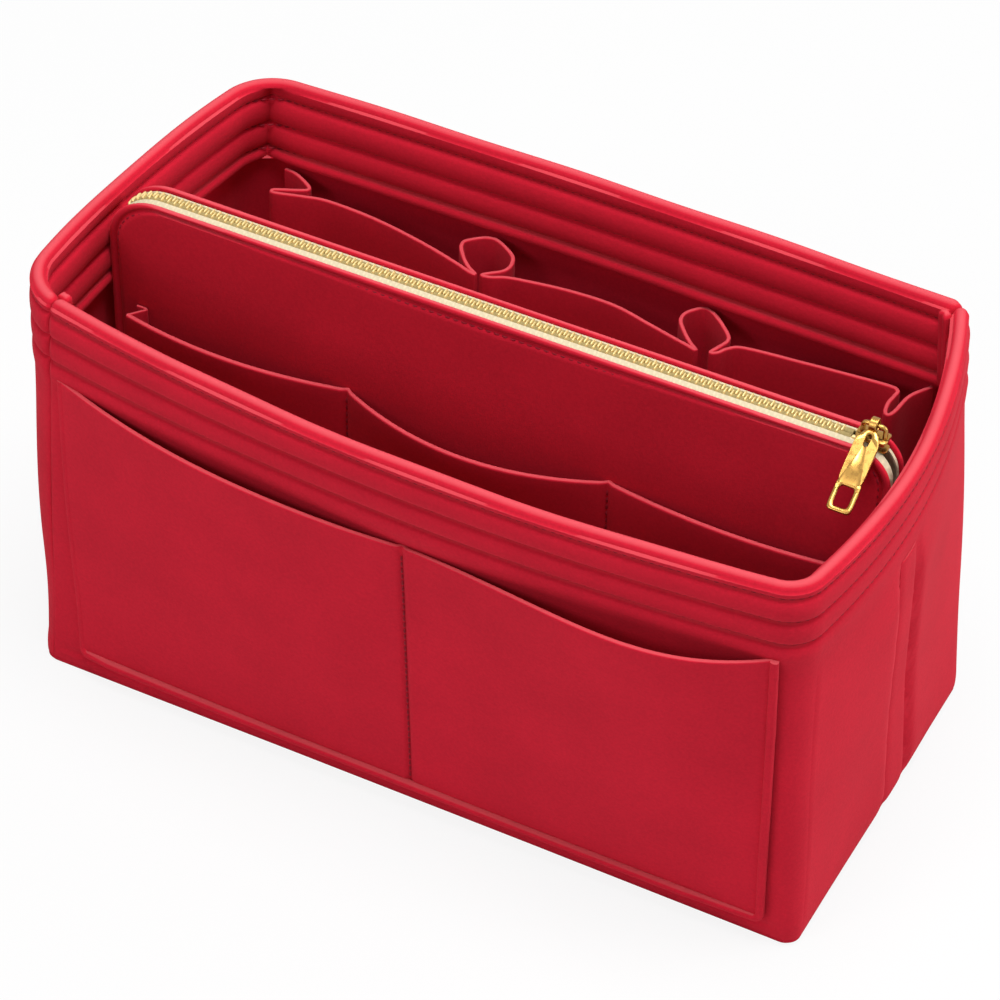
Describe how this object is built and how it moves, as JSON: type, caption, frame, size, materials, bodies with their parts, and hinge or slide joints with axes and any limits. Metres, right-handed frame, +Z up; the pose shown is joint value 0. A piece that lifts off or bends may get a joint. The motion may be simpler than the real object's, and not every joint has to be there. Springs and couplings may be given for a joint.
{
  "type": "purse organizer insert",
  "caption": "Open felt box that stands inside a handbag, with pockets, pen loops and a zipped felt pouch along its middle that lifts out.",
  "frame": {"origin": "centre of the underside of the base panel, on the surface that the organizer stands on", "axes": "+X along the length towards the end with the zip slider, -Y towards the front with the outer pockets, +Z up"},
  "size_m": [0.3157, 0.1819, 0.1889],
  "materials": {
    "wall_felt": "red needle-punched felt, matt, slightly fuzzy",
    "pocket_felt": "red needle-punched felt, matt, thinner",
    "pouch_felt": "red needle-punched felt, matt, thinner",
    "zip_tape": "cream woven zip tape",
    "zip_brass": "polished gold-coloured brass"
  },
  "bodies": {
    "organizer_box": {"base_panel": "wall_felt", "front_right_wall": "wall_felt", "back_left_wall": "wall_felt", "front_left_seam": "wall_felt", "back_right_seam": "wall_felt", "right_end_strip": "wall_felt", "left_end_strip": "wall_felt", "outer_pocket_left": "pocket_felt", "outer_pocket_right": "pocket_felt", "outer_pocket_welt_left": "pocket_felt", "outer_pocket_welt_right": "pocket_felt", "outer_pocket_welt_bottom": "pocket_felt", "back_pocket_left": "pocket_felt", "back_pocket_middle": "pocket_felt", "back_pocket_right": "pocket_felt", "pen_loop_left": "pocket_felt", "pen_loop_right": "pocket_felt", "back_pocket_pleat": "pocket_felt", "back_pocket_gusset": "pocket_felt"},
    "zip_pouch": {"pouch_front_panel": "pouch_felt", "pouch_back_panel": "pouch_felt", "pouch_bottom_gusset": "pouch_felt", "pouch_left_gusset": "pouch_felt", "pouch_right_gusset": "pouch_felt", "pouch_pocket_left": "pouch_felt", "pouch_pocket_middle": "pouch_felt", "pouch_pocket_right": "pouch_felt", "zip_tape_front": "zip_tape", "zip_tape_back": "zip_tape", "zip_teeth_front": "zip_brass", "zip_teeth_back": "zip_brass", "zip_bottom_stop": "zip_brass", "zip_top_stop_front": "zip_brass", "zip_top_stop_back": "zip_brass"},
    "zip_slider": {"slider_top_plate": "zip_brass", "slider_bottom_plate": "zip_brass", "slider_bail": "zip_brass"},
    "zip_pull": {"pull_tab": "zip_brass"}
  },
  "joints": [
    {"name": "pouch_lift", "type": "slide", "parent": "organizer_box", "child": "zip_pouch", "axis": [0, 0, 1], "range_m": [0, 0.2]},
    {"name": "slider_slide", "type": "slide", "parent": "zip_pouch", "child": "zip_slider", "axis": [-1, 0, 0], "range_m": [0, 0.26]},
    {"name": "tab_swing", "type": "hinge", "parent": "zip_slider", "child": "zip_pull", "pos_m": [0.13978, -0.0105, 0.18635], "axis": [-1, 0, 0], "range_deg": [0, 240]}
  ]
}
